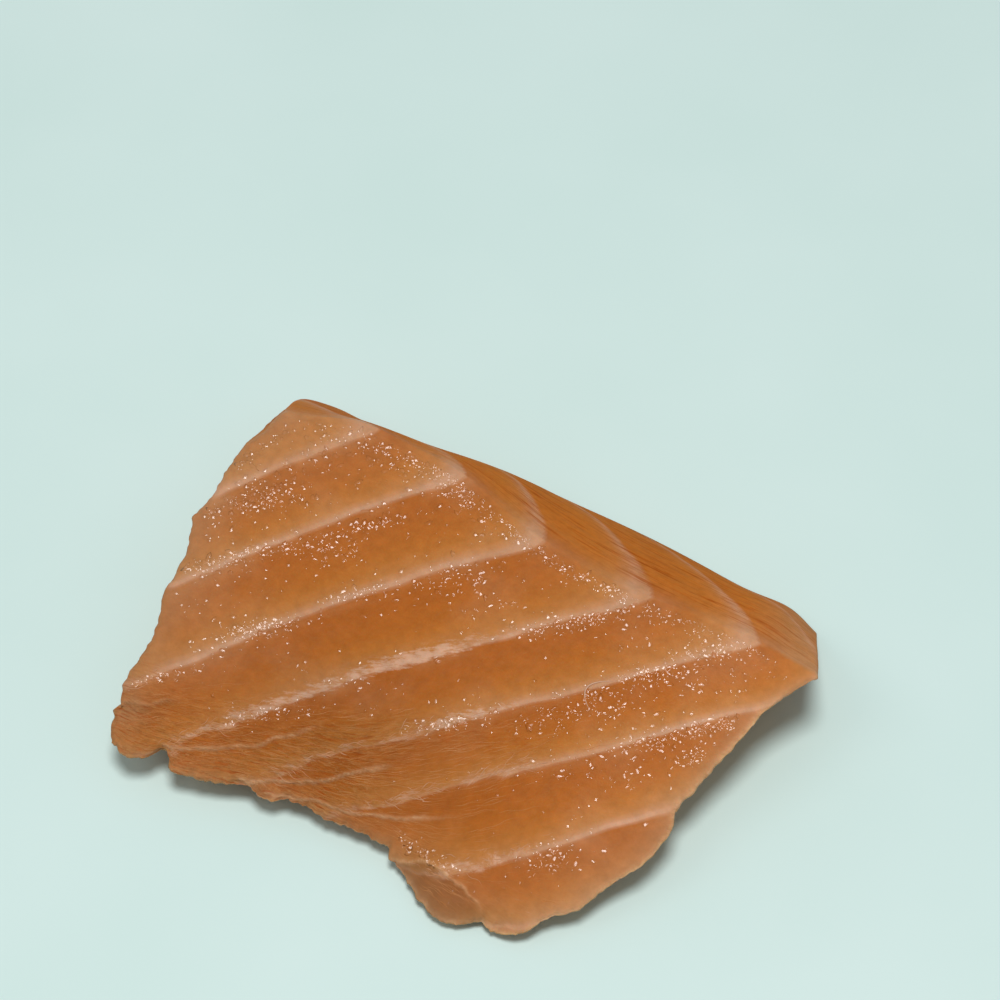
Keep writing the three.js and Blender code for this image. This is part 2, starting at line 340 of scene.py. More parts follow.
# the back face starts below the ridge and is fainter near the left end
backStart = dict(corner=0.02, down=0.2, leftLess=0.6, leftFade=9)
onBack = (1 - smooth(pointV, 0, backStart["corner"])) * (~onFace)
leftEnd = backStart["leftLess"] * np.exp(-pointU * backStart["leftFade"])
backFace = onBack * smooth(pointDown, 0, backStart["down"]) * (1 - leftEnd)

# torn: the ragged part of the face, in front of a sheet number that climbs to the right, then
# along the front edge and, weaker, on the flap; the flap has few strands
tear = dict(
    sheet=4.55, climb=0.055, climbAt=-5, wander=[(0.35, 6, 6, 3)], blend=0.35, right=(2, 17),
    edge=(0.72, 0.95), edgeRight=(6, 20),
    flap=0.55, flapEdge=(0.6, 0.9), flapLeft=(0, 8), flapRight=(16, 24),
    sides=0.5, fewLeft=(-3, 6), fewEdge=(0.55, 0.75),
)
tornStart = tear["sheet"] + tear["climb"] * (x - tear["climbAt"]) + clouds(x, y, tear["wander"])
torn = smooth(number, tornStart - tear["blend"], tornStart + tear["blend"])
torn = torn * (1 - smooth(x, *tear["right"]))
torn = np.maximum(torn, smooth(pointV, *tear["edge"]) * (1 - smooth(x, *tear["edgeRight"])))
onFlap = smooth(x, *tear["flapLeft"]) * (1 - smooth(x, *tear["flapRight"]))
torn = np.maximum(torn, tear["flap"] * smooth(pointV, *tear["flapEdge"]) * onFlap)
torn = np.where(onFace, torn, tear["sides"] * (1 - onBack))
few = smooth(x, *tear["fewLeft"]) * smooth(pointV, *tear["fewEdge"]) * onFace
stranded = torn * (1 - few)

# edges of torn layers: each a path in x and y, its drop in mm, how pale its edge is, and how
# dark the painted shade on the flesh in front of it is and how far it reaches
folds = [
    dict(path=[(-17.6, -22.0), (-13.7, -19.8), (-10.6, -17.3), (-8.5, -15.3), (-6.2, -12.3)],
         drop=0.18, pale=0.6, paintedShade=0, reach=1),
    dict(path=[(-10.2, -20.6), (-4.6, -17.5), (-3.1, -16.2), (-1.1, -14.3), (1.8, -12.4)],
         drop=0.24, pale=0.75, paintedShade=0, reach=1),
    dict(path=[(-7.8, -20.4), (-4.0, -18.8), (0.9, -17.4), (4.1, -16.0), (8.8, -13.4)],
         drop=0.16, pale=0.65, paintedShade=0, reach=1),
    dict(path=[(4.4, -19.6), (8.0, -18.7), (12.0, -18.8), (14.9, -20.2)],
         drop=0.30, pale=0.55, paintedShade=0.32, reach=8.0),
    dict(path=[(-23.5, -21.1), (-22.2, -20.4), (-21.2, -19.7), (-19.9, -18.8), (-17.9, -17.8)],
         drop=0.25, pale=0.3, paintedShade=0.2, reach=0.8),
]


def foldGaps(x, y, path):
    # the signed distance to the nearest part of a path, minus in front of it, and the share of
    # the way along the whole path
    best, side, way = np.full(x.shape, 1e9), np.zeros(x.shape), np.zeros(x.shape)
    for k, ((x0, y0), (x1, y1)) in enumerate(zip(path[:-1], path[1:])):
        dx, dy = x1 - x0, y1 - y0
        q = np.clip(((x - x0) * dx + (y - y0) * dy) / (dx * dx + dy * dy), 0, 1)
        gap = np.hypot(x - x0 - q * dx, y - y0 - q * dy)
        near = gap < best
        best = np.where(near, gap, best)
        side = np.where(near, np.sign(dx * (y - y0) - dy * (x - x0)), side)
        way = np.where(near, (k + q) / (len(path) - 1), way)
    return best * side, way


# across a fold: a low brim behind it, a sharp drop, then level again in front
foldEdge = dict(
    frayX=[(0.5, 1.8, 1.8, 51)], frayY=[(0.5, 1.6, 1.6, 53), (0.16, 0.5, 0.5, 54)],
    brim=0.35, brimWide=0.5, fall=(-0.12, 0.12), level=1.1, fade=0.75,
    paleAt=0.08, paleWide=0.15, shade=(-0.1, 0.3),
)
foldRelief, foldPaleAndEdgeHighlight, paintedFoldShade = 0 * x, 0 * x, 0 * x
frayX = x + clouds(x, y, foldEdge["frayX"])
frayY = y + clouds(x, y, foldEdge["frayY"])
for fold in folds:
    gap, way = foldGaps(frayX, frayY, fold["path"])
    infront = np.maximum(-gap, 0)
    fade = (1 - smooth(way, foldEdge["fade"], 1)) * onFace
    brim = foldEdge["brim"] * np.exp(-np.abs(gap) / foldEdge["brimWide"])
    fall = smooth(-gap, *foldEdge["fall"]) * np.exp(-infront / foldEdge["level"])
    foldRelief = foldRelief + fade * fold["drop"] * (brim - fall)
    # painted shade: the flesh in front of each fold is darker, fading over the fold's reach
    shade = smooth(-gap, *foldEdge["shade"]) * np.exp(-infront / fold["reach"])
    paintedFoldShade = paintedFoldShade + fold["paintedShade"] * shade * fade
    pale = fold["pale"] * bump(gap, foldEdge["paleAt"], foldEdge["paleWide"])
    foldPaleAndEdgeHighlight = np.maximum(foldPaleAndEdgeHighlight, fade * pale)

# relief in mm, each a list of clouds: the sheets' wander is in sheets, and so is the rag of
# the torn ones
relief = dict(
    wander=[(0.05, 6, 6, 11), (0.03, 2, 2, 12)], rag=[(0.16, 3, 1.3, 13), (0.10, 1.2, 0.6, 14)],
    fibres=[(0.06, 6, 0.75, 21), (0.036, 3, 0.4, 22)],
    lumps=[(0.12, 5, 5, 23), (0.06, 2.2, 2.2, 24)], grit=[(0.012, 0.7, 0.7, 25)],
    back=[(0.03, 9, 0.8, 26)], rim=[(0.16, 0.9, 0.9, 27), (0.10, 0.35, 0.35, 28)],
    rimReach=0.35, sideShare=0.6, sideStep=0.5, ridgeStep=0.3, ridgeFade=0.15,
    rimFibres=0.35, footStart=0.8,
)

# a pale film on the fat lines from the fourth on, gone towards the right and the front edge
veil = dict(
    clouds=[(0.55, 3.0, 1.2, 41), (0.35, 1.2, 0.6, 42)], base=0.9, at=0.95, wide=0.10,
    sheet=(3.55, 3.9), edge=(0.5, 3), right=(-2, 6), lean=4, leanFrom=4, tornLess=0.5,
    thick=0.08, thickFrom=0.5,
)
number = number + clouds(x, y, relief["wander"])
number = number + clouds(along, across, relief["rag"]) * torn * onFace
part = number - np.floor(number)
film = clouds(along, across, veil["clouds"]) + veil["base"]
film = film * (bump(part, veil["at"], veil["wide"]) + bump(part, veil["at"] - 1, veil["wide"]))
film = film * smooth(number, *veil["sheet"]) * onFace * smooth(edgeGap, *veil["edge"])
leaned = x - veil["lean"] * (number - veil["leanFrom"])
film = film * (1 - smooth(leaned, *veil["right"])) * (1 - veil["tornLess"] * torn)

# the relief is laid on along the normals, less at the rim, at the ridge and towards the foot
flake = smooth(part, sheets["rise"], sheets["crest"]) * (1 - smooth(part, sheets["crest"], 1))
groove = sum(bump(part, sheets["grooveAt"] + k, sheets["grooveWide"]) for k in (0, 1))
flake = sheets["stepHigh"] * flake - sheets["groove"] * groove * (1 - torn)
share = np.where(onFace, rimCover(pointU, pointV), relief["sideShare"])
nearStep = relief["ridgeStep"] + (1 - relief["ridgeStep"]) * smooth(pointV, 0, relief["ridgeFade"])
height = flake * share * np.where(onFace, nearStep, relief["sideStep"])
fibreShare = np.where(onFace, relief["rimFibres"] + (1 - relief["rimFibres"]) * share, 1)
height = height + stranded * clouds(along, across, relief["fibres"]) * fibreShare
height = height + foldRelief + veil["thick"] * smooth(film, veil["thickFrom"], 1.0)
height = height + clouds(x, y, relief["lumps"]) + clouds(x, y, relief["grit"]) * onFace
height = height + backFace * clouds(x, across, relief["back"])
height = height * np.where(onFace, 1, 1 - smooth(pointDown, relief["footStart"], 1))
leftGap, rightGap = pointU * flesh["faceLong"], (1 - pointU) * flesh["faceLong"]
rimGap = np.minimum(edgeGap, np.minimum(leftGap, rightGap))
atRim = (1 - onBack) * np.where(onFace, np.exp(-rimGap / relief["rimReach"]), 1 - pointDown)
height = height + clouds(x, y, relief["rim"]) * atRim
points = points + vertexNormals(points, quads) * height[:, None]

# small teeth on the thin edges, pushed out and in by chance, with a nick and a jag on the left
teeth = dict(
    front=0.4, left=0.28, right=0.20, reach=0.8, frontEnd=(14, 18), sideStart=(0.02, 0.1),
    stretch=0.3, frontClouds=[(1, 0.75, 1, 61), (0.9, 0.28, 1, 62)],
    sideClouds=[(1, 0.8, 1, 63), (0.7, 0.35, 1, 64)],
    leftJag=[(0.906, 0.010, 0.35), (0.924, 0.007, -0.35)], jagFade=90,
)
frontNear = np.exp(-edgeGap / teeth["reach"]) * (1 - smooth(x, *teeth["frontEnd"]))
sideNear = smooth(pointV, *teeth["sideStart"])
leftNear, rightNear = (np.exp(-gap / teeth["reach"]) * sideNear for gap in (leftGap, rightGap))
frontTeeth = clouds(x, teeth["stretch"] * y, teeth["frontClouds"])
sideTeeth = clouds(y, teeth["stretch"] * x, teeth["sideClouds"])
hold = 1 - pointDown
points[:, 1] -= teeth["front"] * frontTeeth * frontNear * hold
points[:, 0] += (teeth["right"] * rightNear - teeth["left"] * leftNear) * sideTeeth * hold
points[:, 0] += swells(pointV, teeth["leftJag"]) * np.exp(-pointU * teeth["jagFade"]) * hold
points[:, 2] = np.maximum(points[:, 2], 0)

# the fat spreads near the ridge: the rest of the way to a sheet is raised to a power
fatSpread = dict(more=0.9, faceReach=1.6, backReach=2.0, backDeep=8)
faceSpread = np.exp(-pointV * flesh["faceDeep"] / fatSpread["faceReach"])
backSpread = onBack * np.exp(-fatSpread["backDeep"] * pointDown / fatSpread["backReach"])
spread = 1 + fatSpread["more"] * np.where(onFace, faceSpread, backSpread)
number = np.floor(number) + 1 - (1 - part) ** spread

# how thin the flesh is: the reach of each thin edge in mm, the left flap and the right tip
thinness = dict(
    left=0.8, leftReach=3.0, rightReach=0.4, rightMore=2.6, frontReach=0.8, frontMore=1.6,
    frontRight=(2, 10), flap=0.9, flapAt=(-22.5, -21), flapWide=(2.2, 2.4),
    sides=0.25, tip=0.9, tipStart=(0.84, 0.98),
)
rightReach = thinness["rightReach"] + thinness["rightMore"] * pointV
frontReach = thinness["frontReach"] + thinness["frontMore"] * smooth(x, *thinness["frontRight"])
thin = np.maximum(
    thinness["left"] * np.exp(-leftGap / thinness["leftReach"]), np.exp(-rightGap / rightReach)
)
thin = np.maximum(thin, np.exp(-edgeGap / frontReach))
thinTip = thinness["tip"] * onBack * smooth(pointU, *thinness["tipStart"])
thin = np.where(onFace, thin, thinness["sides"] * (1 - onBack) + thinTip)
leftFlap = patch(x, y, thinness["flapAt"], thinness["flapWide"])
thin = np.maximum(thin, thinness["flap"] * leftFlap)

# a painted highlight: a pale hairline along the right edge and the flap's edge, standing in for
# the glint of the wet edge; it joins the folds' pale edges
hair = dict(pale=0.7, wide=0.32, frontLeft=(4, 8), start=(0.05, 0.2), fall=4)
hairGap = np.minimum(rightGap, edgeGap / smooth(x, *hair["frontLeft"]).clip(1e-3))
paintedHairHighlight = hair["pale"] * bump(hairGap, 0, hair["wide"]) * smooth(pointV, *hair["start"])
foldPaleAndEdgeHighlight = np.maximum(foldPaleAndEdgeHighlight, paintedHairHighlight * (1 - pointDown) ** hair["fall"])

# how wet it is: in clusters, below the fat lines, near the ridge and on the upper left; it places
# the loose beads and paints a pale sheen into the flesh's colour
wetAndSheenLay = dict(
    least=0.22,
    cluster=0.62, clusters=[(1, 4.5, 4.5, 31), (0.5, 2, 2, 32)], clusterFrom=(-0.15, 0.45),
    line=0.7, lineAt=0.06, lineWide=0.07, lines=[(1, 3, 1, 33)], lineFrom=(-0.2, 0.3),
    ridge=0.7, ridgeReach=4.5, left=0.4, leftAt=(-21, 8), leftWide=(9, 9),
    tornLess=0.7, backFall=9,
)
cluster = smooth(clouds(x, y, wetAndSheenLay["clusters"]), *wetAndSheenLay["clusterFrom"])
belowLine = bump(part, wetAndSheenLay["lineAt"], wetAndSheenLay["lineWide"])
belowLine = belowLine * smooth(clouds(along, across, wetAndSheenLay["lines"]), *wetAndSheenLay["lineFrom"])
nearRidge = np.exp(-pointV * flesh["faceDeep"] / wetAndSheenLay["ridgeReach"])
upperLeft = patch(x, y, wetAndSheenLay["leftAt"], wetAndSheenLay["leftWide"])
wetAndSheen = wetAndSheenLay["least"] + wetAndSheenLay["cluster"] * cluster + wetAndSheenLay["line"] * belowLine
wetAndSheen = wetAndSheen + wetAndSheenLay["ridge"] * nearRidge + wetAndSheenLay["left"] * upperLeft
wetAndSheenBack = wetAndSheen * onBack * np.exp(-wetAndSheenLay["backFall"] * pointDown)
wetAndSheen = np.where(onFace, wetAndSheen * (1 - wetAndSheenLay["tornLess"] * torn), wetAndSheenBack)

# darker in the torn hollow, with painted shade in front of the folds, and lighter to the right
tones = dict(whole=1.09, hollow=0.22, hollowAt=(-4, -13), hollowWide=(13, 8),
             right=0.13, rightStart=(8, 28))
tone = tones["whole"] - tones["hollow"] * patch(x, y, tones["hollowAt"], tones["hollowWide"])
tone = (tone + tones["right"] * smooth(x, *tones["rightStart"])) * (1 - paintedFoldShade)

# the back face's fibres lie along the ridge, close together down the side
backFibres = dict(long=0.25, close=7, lean=0.04)
backAcross = backFibres["close"] * pointDown + backFibres["lean"] * x
fleshValues = dict(
    sheet=number, torn=torn, stranded=stranded, backFace=backFace, thin=thin, wetAndSheen=wetAndSheen, tone=tone,
    film=film, foldPaleAndEdgeHighlight=foldPaleAndEdgeHighlight, grain=np.stack([along, across, z], 1),
    backGrain=np.stack([backFibres["long"] * x, backAcross, 0 * x], 1),
)
sliceFlesh = buildMesh(
    "sliceFlesh", (points - middle) * mm, quads.tolist() + fan.tolist(), fleshValues,
)
print("slice built,", len(quads) * 2 + len(fan), "triangles")


# what lies on the cut face is placed by u and v, on the surface with its relief
def fromFace(values):
    # the values of the cut face's points, laid out as its grid
    return values[:faceCount].reshape(*index.shape, *values.shape[1:])


def onGrid(values, u, v):
    # values kept at the grid's corners, blended straight between them
    spots = []
    for s, count in ((u, cells["long"]), (v, cells["wide"])):
        place = np.interp(s, edgeCrowd(count), np.arange(count + 1))
        low = np.minimum(place.astype(int), count - 1)
        spots.append((low, place - low))
    (i, p), (j, q) = spots
    if values.ndim == 3:
        p, q = p[..., None], q[..., None]
    near = values[i, j] * (1 - q) + values[i, j + 1] * q
    far = values[i + 1, j] * (1 - q) + values[i + 1, j + 1] * q
    return near * (1 - p) + far * p


def stepOn(u, v, dx, dy, tiny=1e-4):
    # a step of dx, dy millimetres on the face as steps in u and v, by the face's own slopes
    here = facePoints(u, v)
    alongU = (facePoints(u + tiny, v) - here) / tiny
    alongV = (facePoints(u, v + tiny) - here) / tiny
    turned = alongU[..., 0] * alongV[..., 1] - alongU[..., 1] * alongV[..., 0]
    du = (dx * alongV[..., 1] - dy * alongV[..., 0]) / turned
    dv = (dy * alongU[..., 0] - dx * alongU[..., 1]) / turned
    return du, dv


# moisture: small glossy beads in runs under the fat lines and along the ridge, and loose ones
# where it is wet; each run has its middle u and v, its length and width in mm, its turn in
# degrees and how many. small and short are powers: the higher, the more small or short beads
moisture = dict(
    runs=[
        (0.07, 0.31, 6.5, 1.6, 50, 90), (0.09, 0.26, 4.0, 2.6, 45, 40),
        (0.02, 0.20, 5.0, 0.7, 75, 26), (0.08, 0.48, 6.5, 0.8, 50, 60),
        (0.17, 0.41, 3.5, 1.0, 45, 26), (0.27, 0.26, 8.0, 0.6, 48, 50),
        (0.24, 0.37, 3.6, 2.2, 45, 44), (0.27, 0.04, 9.0, 1.6, 12, 110),
        (0.36, 0.05, 5.5, 1.5, -14, 90), (0.47, 0.02, 7.5, 1.2, -12, 110),
        (0.18, 0.62, 5.5, 0.8, 42, 90), (0.32, 0.44, 4.0, 0.7, 42, 34),
        (0.45, 0.26, 6.0, 2.6, 40, 50), (0.63, 0.03, 10.0, 1.1, 2, 90),
        (0.06, 0.81, 3.6, 0.5, 45, 26), (0.66, 0.18, 6.0, 0.9, 42, 80),
        (0.81, 0.04, 7.0, 1.4, 6, 60), (0.90, 0.02, 4.0, 0.9, 8, 40),
        (0.82, 0.21, 5.5, 1.0, 40, 70), (0.86, 0.10, 4.0, 0.6, 30, 24),
        (0.77, 0.36, 6.5, 2.0, 40, 70), (0.72, 0.47, 4.0, 1.2, 40, 24),
        (0.28, 0.81, 5.5, 0.8, 42, 40), (0.56, 0.63, 5.0, 0.7, 40, 30),
        (0.90, 0.38, 4.5, 1.0, 40, 50), (0.945, 0.28, 4.5, 0.8, 38, 70),
        (0.97, 0.36, 3.5, 1.2, 38, 40), (0.88, 0.76, 3.6, 1.6, 38, 46),
        (0.72, 0.93, 3.6, 0.7, -8, 36), (0.82, 0.52, 9.0, 1.8, 34, 34),
    ],
    crowd=2.3, runLong=0.42, runWide=0.5, strides=4, tries=9000, loose=1000,
    looseU=(0.02, 0.98), looseV=(0.01, 0.97), inU=(0.014, 0.98), inV=(0.024, 0.97),
    reach=(0.06, 0.20), small=2, long=2.2, short=1.2,
    uneven=0.16, sides=6, rings=(0.0, 0.5, 0.85, 1.9),
    tilt=0.3, crown=0.05, lean=(0.200, -0.310, 0.929), scatter=0.09,
    sunk=0.045, foldSunk=0.9, ridgeSunk=0.2, ridgeReach=0.8,
)


def beadPlaces():
    # each run's beads spread along and across it by chance, most near its middle
    draw = np.random.default_rng(11)
    us, vs = [], []
    for u, v, length, width, turned, count in moisture["runs"]:
        count = round(moisture["crowd"] * count)
        far = draw.normal(0, moisture["runLong"], count) * length
        off = draw.normal(0, moisture["runWide"], count) * width
        turned = math.radians(turned)
        u, v = np.full(count, u), np.full(count, v)
        dx = (far * math.cos(turned) - off * math.sin(turned)) / moisture["strides"]
        dy = (far * math.sin(turned) + off * math.cos(turned)) / moisture["strides"]
        for _ in range(moisture["strides"]):
            du, dv = stepOn(u, v, dx, dy)
            u, v = u + du, v + dv
        us.append(u)
        vs.append(v)
    tries = moisture["tries"]
    u, v = (draw.uniform(*moisture[key], tries) for key in ("looseU", "looseV"))
    keep = np.flatnonzero(draw.uniform(0, 1, tries) < onGrid(fromFace(wetAndSheen), u, v) ** 2)
    keep = keep[:moisture["loose"]]
    u, v = np.concatenate([*us, u[keep]]), np.concatenate([*vs, v[keep]])
    (leastU, mostU), (leastV, mostV) = moisture["inU"], moisture["inV"]
    inside = (u > leastU) & (u < mostU) & (v > leastV) & (v < mostV)
    return u[inside], v[inside]


def moistureBeads():
    # each bead has a nearly flat top that leans its own way, with a middle and two rings of
    # corners, and an outer ring sunk in the flesh and closed underneath; its edge is uneven
    u, v = beadPlaces()
    draw = np.random.default_rng(12)
    count, sides = len(u), moisture["sides"]
    low, most = moisture["reach"]
    reach = low + (most - low) * draw.uniform(0, 1, count) ** moisture["small"]
    longer = 1 + (moisture["long"] - 1) * draw.uniform(0, 1, count) ** moisture["short"]
    centre, up = onGrid(faceGrid, u, v), onGrid(faceNormals, u, v)
    up = up / np.linalg.norm(up, axis=1, keepdims=True)
    lean = np.array(moisture["lean"]) + draw.normal(0, moisture["scatter"], (count, 3))
    lean = lean / np.linalg.norm(lean, axis=1, keepdims=True)
    lie = draw.uniform(0, 2 * np.pi, count)
    first = np.stack([np.cos(lie), np.sin(lie), 0 * lie], 1)
    first = first - up * (first * up).sum(1, keepdims=True)
    first = first / np.linalg.norm(first, axis=1, keepdims=True)
    second = np.cross(up, first)
    angle = 2 * np.pi * np.arange(sides) / sides
    wobble = 1 + moisture["uneven"] * draw.uniform(-1, 1, (count, sides))
    slopes = [-(lean * axis).sum(1) / (lean * up).sum(1) for axis in (first, second)]
    steep = np.hypot(*slopes)[:, None]
    sunk = moisture["sunk"] + moisture["foldSunk"] * onGrid(fromFace(np.abs(foldRelief)), u, v)
    ridgeGap = v * flesh["faceDeep"]
    sunk = sunk + moisture["ridgeSunk"] * np.exp(-ridgeGap / moisture["ridgeReach"])
    sunk = sunk[:, None]
    rings = []
    for ring in moisture["rings"]:
        sideways = (ring * reach)[:, None] * wobble
        far, off = sideways * longer[:, None] * np.cos(angle), sideways * np.sin(angle)
        high = slopes[0][:, None] * far + slopes[1][:, None] * off
        lift = moisture["tilt"] * steep + moisture["crown"] * (1 - ring ** 2)
        high = high + lift * reach[:, None] if ring < 1 else 0 * high - sunk
        spot = (centre[:, None] + up[:, None] * high[..., None]
                + first[:, None] * far[..., None] + second[:, None] * off[..., None])
        rings.append(spot if ring else spot[:, :1])
    bottom = centre[:, None] - up[:, None] * (2 * sunk)[..., None]
    beads = np.concatenate([*rings, bottom], 1)
    size = beads.shape[1]
    base = size * np.arange(count)[:, None]
    k = np.arange(sides)
    after = (k + 1) % sides
    quads = [
        np.stack([base + row + k, base + row + sides + k, base + row + sides + after,
                  base + row + after], -1)
        for row in (1, 1 + sides)
    ]
    last = 1 + 2 * sides
    tips = [
        np.stack([base + 0 * k, base + 1 + k, base + 1 + after], -1),
        np.stack([base + size - 1 + 0 * k, base + last + after, base + last + k], -1),
    ]
    faces = []
    for made in (*quads, *tips):
        faces += made.reshape(-1, made.shape[-1]).tolist()
    under = {key: np.repeat(onGrid(fromFace(value), u, v), size, axis=0)
             for key, value in fleshValues.items()}
    return buildMesh("moistureBeads", (beads.reshape(-1, 3) - middle) * mm, faces, under,
                     flat=count * sides)


# torn fibres: fine pale strands that lie along the flesh where it is torn, short wisps near the
# fat lines and one curl. First their turn in degrees at the left corner, the front edge, the
# flap's edge, inside on the left and right, and where in x or mm from the edge it changes;
# ragged, short and narrow are powers: the higher, the more strands on the most torn flesh, the
# more short ones and the more narrow ones
strandShape = dict(
    corner=41.0, edge=10.0, flap=-8.0, left=36.0, right=42.0,
    cornerEnd=(-17, -6), flapStart=(3, 8), rightStart=(0, 10), inside=(0.5, 8.0),
    tries=30000, startU=(0.01, 0.97), startV=(0.4, 0.985), endU=(0.005, 0.99), endV=(0.005, 0.992),
    count=1050, ragged=1.5, length=(1.4, 5.5), short=2, steps=20,
    own=5, swing=11, swingLong=9, swingStart=(0, 6.3), pace=(0.8, 2.2),
    wisps=260, nearFat=(0.93, 0.09), wispRagged=(0.1, 0.6), wispLong=0.4, wispOwn=15, wispSwing=24,
    wide=(0.03, 0.08), narrow=2, high=0.5, sunk=0.03, endWide=0.25, wispWide=1.7, wispPale=0.45,
    curls=[((0.772, 0.273), (0.716, 0.325), (0.775, 0.372))], curlWide=0.24,
)


def strandPaths():
    # strands start by chance where the flesh is torn, the wisps near its fat lines, and follow
    # the turn of the place they pass, each with its own slow wander
    draw = np.random.default_rng(21)
    shape = strandShape
    tries = shape["tries"]
    u, v = (draw.uniform(*shape[key], tries) for key in ("startU", "startV"))
    ragged = onGrid(fromFace(torn), u, v)
    nearFat = bump(onGrid(fromFace(number), u, v) % 1, *shape["nearFat"])
    nearFat = nearFat * smooth(ragged, *shape["wispRagged"])
    chance = draw.uniform(0, 1, tries)
    plain = np.flatnonzero(chance < ragged ** shape["ragged"])[:shape["count"]]
    wisp = np.flatnonzero(chance < nearFat)[-shape["wisps"]:]
    pick = np.concatenate([plain, wisp])
    isWisp = np.arange(len(pick)) >= len(plain)
    u, v = u[pick], v[pick]
    least, most = shape["length"]
    length = least + (most - least) * draw.uniform(0, 1, len(u)) ** shape["short"]
    length = np.where(isWisp, shape["wispLong"] * length, length)
    own = draw.normal(0, np.where(isWisp, shape["wispOwn"], shape["own"]))
    swing, pace = (draw.uniform(*shape[key], len(u)) for key in ("swingStart", "pace"))
    sway = np.where(isWisp, shape["wispSwing"], shape["swing"])
    stride = length / shape["steps"]
    path = [np.stack([u, v])]
    for step in range(shape["steps"]):
        hereX = facePoints(u, v)[:, 0]
        gap = (1 - v) * flesh["faceDeep"]
        edgeTurn = mixed(smooth(hereX, *shape["cornerEnd"]), shape["corner"], shape["edge"])
        edgeTurn = edgeTurn + (shape["flap"] - shape["edge"]) * smooth(hereX, *shape["flapStart"])
        inTurn = mixed(smooth(hereX, *shape["rightStart"]), shape["left"], shape["right"])
        turned = mixed(smooth(gap, *shape["inside"]), edgeTurn, inTurn)
        turned = turned + own + sway * np.sin(swing + pace * step * length / shape["swingLong"])
        turned = np.radians(turned)
        du, dv = stepOn(u, v, stride * np.cos(turned), stride * np.sin(turned))
        u, v = u + du, v + dv
        path.append(np.stack([u, v]))
    path = np.stack(path, -1)
    inside = True
    for s, (start, end) in zip(path, (shape["endU"], shape["endV"])):
        inside = inside & (s.min(1) > start) & (s.max(1) < end)
    way = np.linspace(0, 1, shape["steps"] + 1)[:, None]
    curls = np.array([
        (1 - way) ** 2 * np.array(a) + 2 * way * (1 - way) * np.array(b) + way ** 2 * np.array(c)
        for a, b, c in shape["curls"]
    ])
    u = np.concatenate([path[0][inside], curls[..., 0]])
    v = np.concatenate([path[1][inside], curls[..., 1]])
    return u, v, np.append(isWisp[inside], np.zeros(len(curls), bool))


def tornFibres():
    # each strand is a low ridge carried along its path: three corners, the outer two sunk in
    # the flesh, and a width that rises and falls as a half sine; the curls are the last
    u, v, isWisp = strandPaths()
    draw = np.random.default_rng(22)
    least, most = strandShape["wide"]
    line, up = onGrid(faceGrid, u, v), onGrid(faceNormals, u, v)
    up = up / np.linalg.norm(up, axis=-1, keepdims=True)
    ahead = np.gradient(line, axis=1)
    aside = np.cross(up, ahead)
    aside = aside / np.linalg.norm(aside, axis=-1, keepdims=True)
    way = np.linspace(0, np.pi, u.shape[1])
    wide = least + (most - least) * draw.uniform(0, 1, len(u)) ** strandShape["narrow"]
    wide = wide * np.where(isWisp, strandShape["wispWide"], 1)
    wide[-len(strandShape["curls"]):] = strandShape["curlWide"]
    endWide = strandShape["endWide"]
    wide = (wide[:, None] * (endWide + (1 - endWide) * np.sin(way)))[..., None]
    low = up * strandShape["sunk"]
    corners = np.stack([
        line - aside * wide / 2 - low, line + up * wide * strandShape["high"],
        line + aside * wide / 2 - low,
    ], 2)
    strands, marks = u.shape
    cornerIndex = np.arange(strands * marks * 3).reshape(strands, marks, 3)
    here, ahead = cornerIndex[:, :-1], cornerIndex[:, 1:]
    faces = []
    for k in range(3):
        k2 = (k + 1) % 3
        faces += np.stack([here[..., k], ahead[..., k], ahead[..., k2], here[..., k2]],
                          -1).reshape(-1, 4).tolist()
    faces += cornerIndex[:, 0].tolist()
    faces += cornerIndex[:, -1, ::-1].tolist()
    pale = strandShape["wispPale"] * isWisp
    pale[-len(strandShape["curls"]):] = 1
    under = dict(pale=np.repeat(pale, marks * 3))
    return buildMesh("tornFibres", (corners.reshape(-1, 3) - middle) * mm, faces, under)


faceGrid, faceNormals = fromFace(points), fromFace(vertexNormals(points, quads))
beads = moistureBeads()
print("moisture laid on,", len(beads.data.polygons), "faces")
fibresTorn = tornFibres()
print("torn fibres laid on,", len(fibresTorn.data.polygons), "faces")


# shader nodes

def addNode(tree, kind, inputs=None, **settings):
    made = tree.nodes.new(kind)
    for key, value in settings.items():
        setattr(made, key, value)
    for key, value in (inputs or {}).items():
        if isinstance(value, bpy.types.NodeSocket):
            tree.links.new(value, made.inputs[key])
        else:
            made.inputs[key].default_value = value
    return made


def calc(tree, operation, first, second=0.0, third=0.0):
    made = addNode(tree, "ShaderNodeMath", {0: first, 1: second, 2: third}, operation=operation)
    return made.outputs[0]


def times(tree, first, *others):
    # the product of all the values
    for other in others:
        first = calc(tree, "MULTIPLY", first, other)
    return first


def ramp(tree, value, stops):
    made = addNode(tree, "ShaderNodeValToRGB", {"Fac": value})
    ends = made.color_ramp.elements
    while len(ends) < len(stops):
        ends.new(0.5)
    for end, (place, colour) in zip(ends, stops):
        end.position = place
        end.color = (*colour, 1)
    return made.outputs["Color"]


def greyRamp(tree, value, stops):
    return ramp(tree, value, [(place, (amount,) * 3) for place, amount in stops])


def blendColours(tree, share, first, second, kind="MIX"):
    made = addNode(tree, "ShaderNodeMix", data_type="RGBA", blend_type=kind)
    for socket, value in ((0, share), (6, first), (7, second)):
        if isinstance(value, bpy.types.NodeSocket):
            tree.links.new(value, made.inputs[socket])
        else:
            made.inputs[socket].default_value = value if socket == 0 else (*value, 1)
    return made.outputs[2]


def named(tree, name, output="Fac"):
    return addNode(tree, "ShaderNodeAttribute", attribute_name=name).outputs[output]


